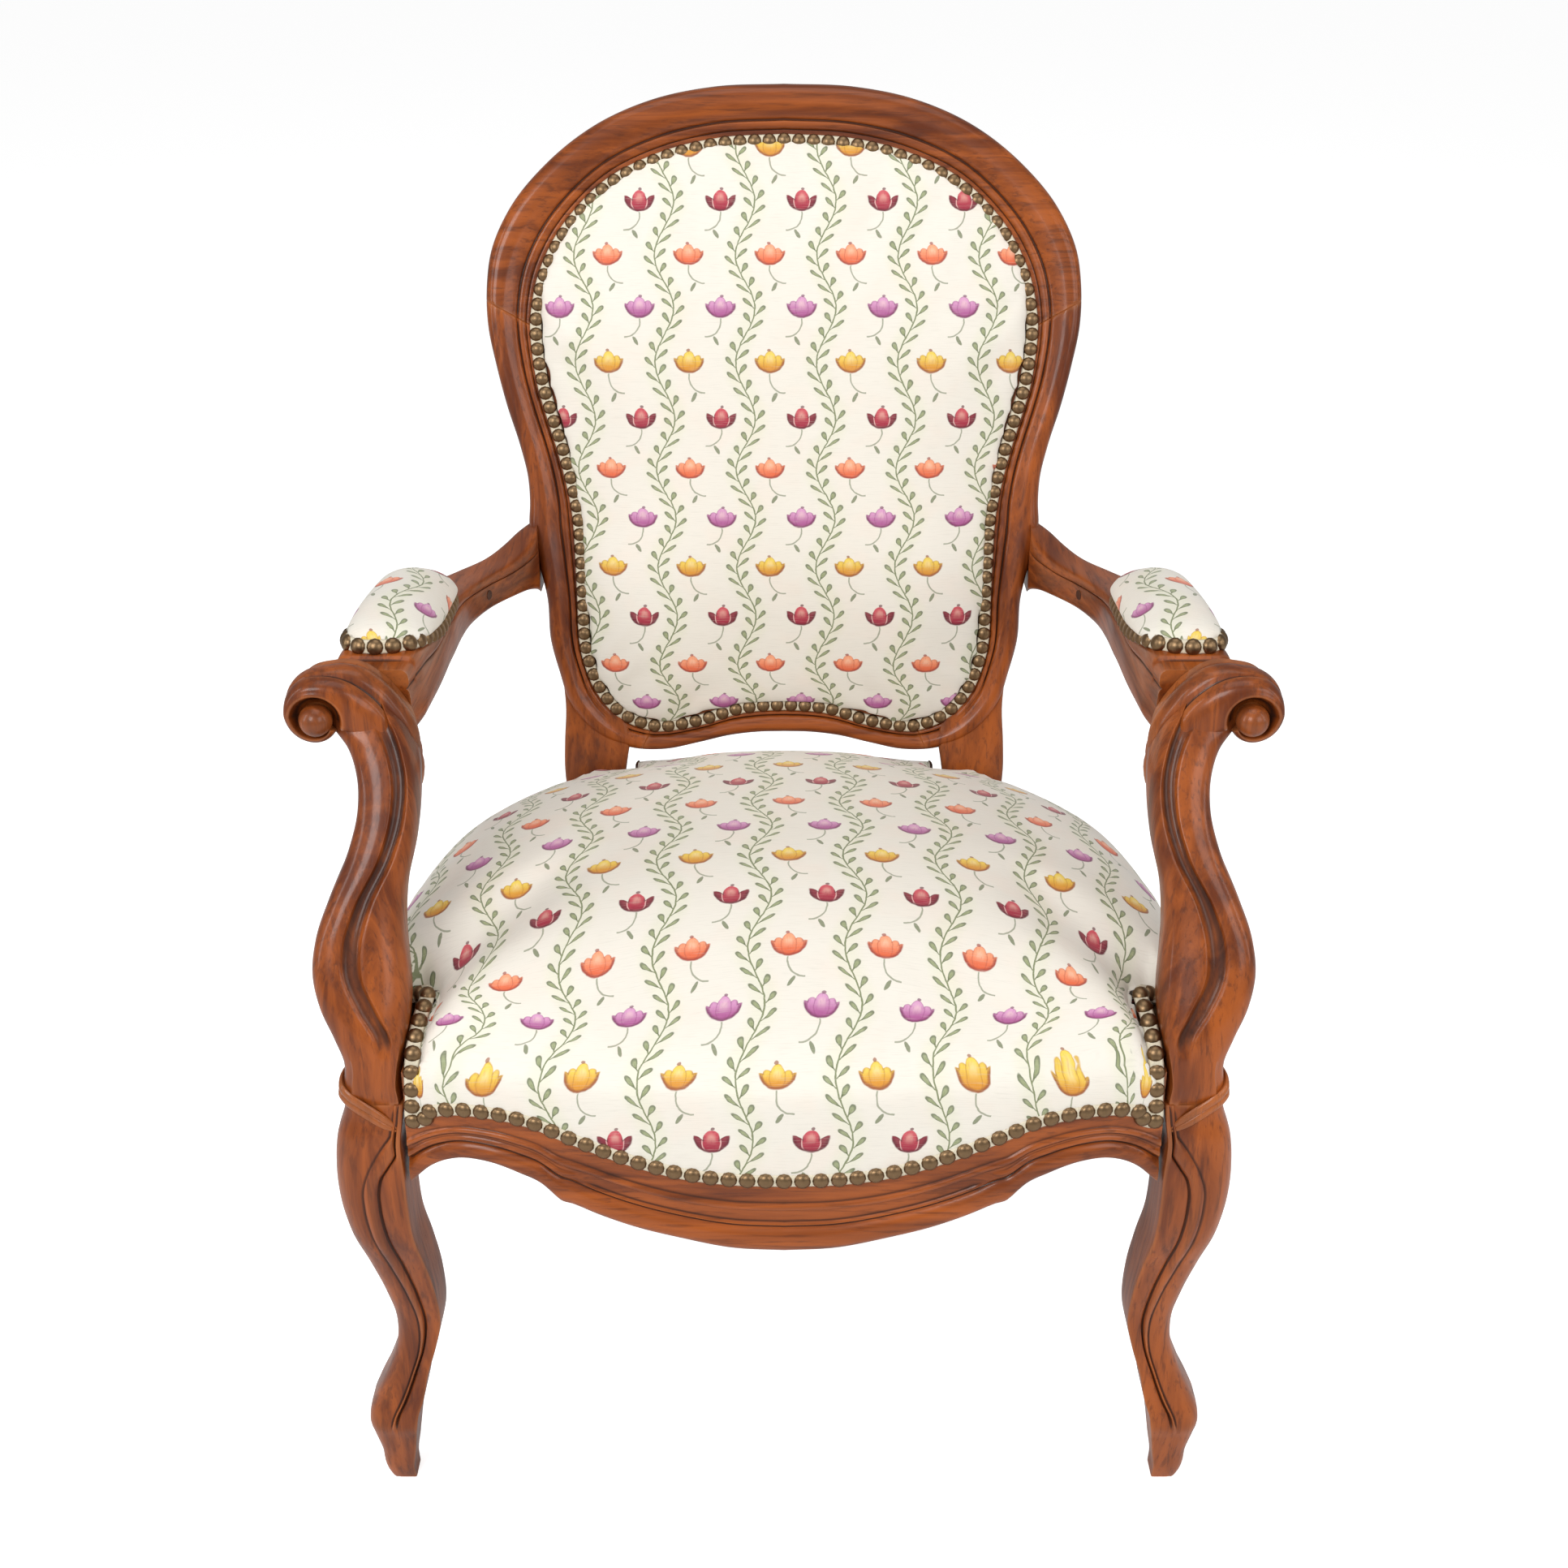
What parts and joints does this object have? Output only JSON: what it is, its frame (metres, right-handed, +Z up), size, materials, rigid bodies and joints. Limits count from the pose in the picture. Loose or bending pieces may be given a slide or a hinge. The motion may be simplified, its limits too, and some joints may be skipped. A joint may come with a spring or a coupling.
{
  "type": "open-arm upholstered armchair with cabriole front legs",
  "caption": "Open-arm upholstered chair on a carved walnut frame: cabriole legs, scrolled arm supports, shaped back, sprung seat and close nailing; seats one person.",
  "frame": {"origin": "on the floor, under the middle of the chair's bounding box", "axes": "+Z up along the chair's height, the chair faces -Y, +X to the right of someone facing it"},
  "size_m": [0.666, 0.7004, 0.9422],
  "materials": {
    "walnut": "satin wax polish, warm red-brown with darker recesses",
    "beech": "bare planed wood",
    "cover": "woven cover, cream ground with floral sprigs on wavy vines",
    "jute": "coarse jute webbing and hessian",
    "cambric": "thin black dust cloth",
    "spring_wire": "dull drawn wire"
  },
  "bodies": {
    "root": {"front_leg_left": "walnut", "front_leg_right": "walnut", "rear_leg_left": "walnut", "rear_leg_right": "walnut", "front_rail": "walnut", "side_rail_left": "walnut", "side_rail_right": "walnut", "rear_rail": "walnut", "crest_rail": "walnut", "back_bottom_rail": "walnut", "arm_support_left": "walnut", "arm_support_right": "walnut", "arm_left": "walnut", "arm_right": "walnut", "support_dowel_left": "beech", "support_dowel_right": "beech", "arm_front_dowel_left": "beech", "arm_front_dowel_right": "beech", "arm_rear_dowel_left": "beech", "arm_rear_dowel_right": "beech", "arm_peg_left": "walnut", "arm_peg_right": "walnut", "front_glue_block_left": "beech", "front_glue_block_right": "beech", "rear_glue_block_left": "beech", "rear_glue_block_right": "beech", "seat_webbing": "jute", "seat_hessian": "jute", "seat_pad": "cover", "dust_cover": "cambric", "seat_spring_1": "spring_wire", "seat_spring_2": "spring_wire", "seat_spring_3": "spring_wire", "seat_spring_4": "spring_wire", "seat_spring_5": "spring_wire", "back_webbing": "jute", "back_pad": "cover", "outer_back": "cover", "arm_pad_left": "cover", "arm_pad_right": "cover"}
  },
  "joints": []
}
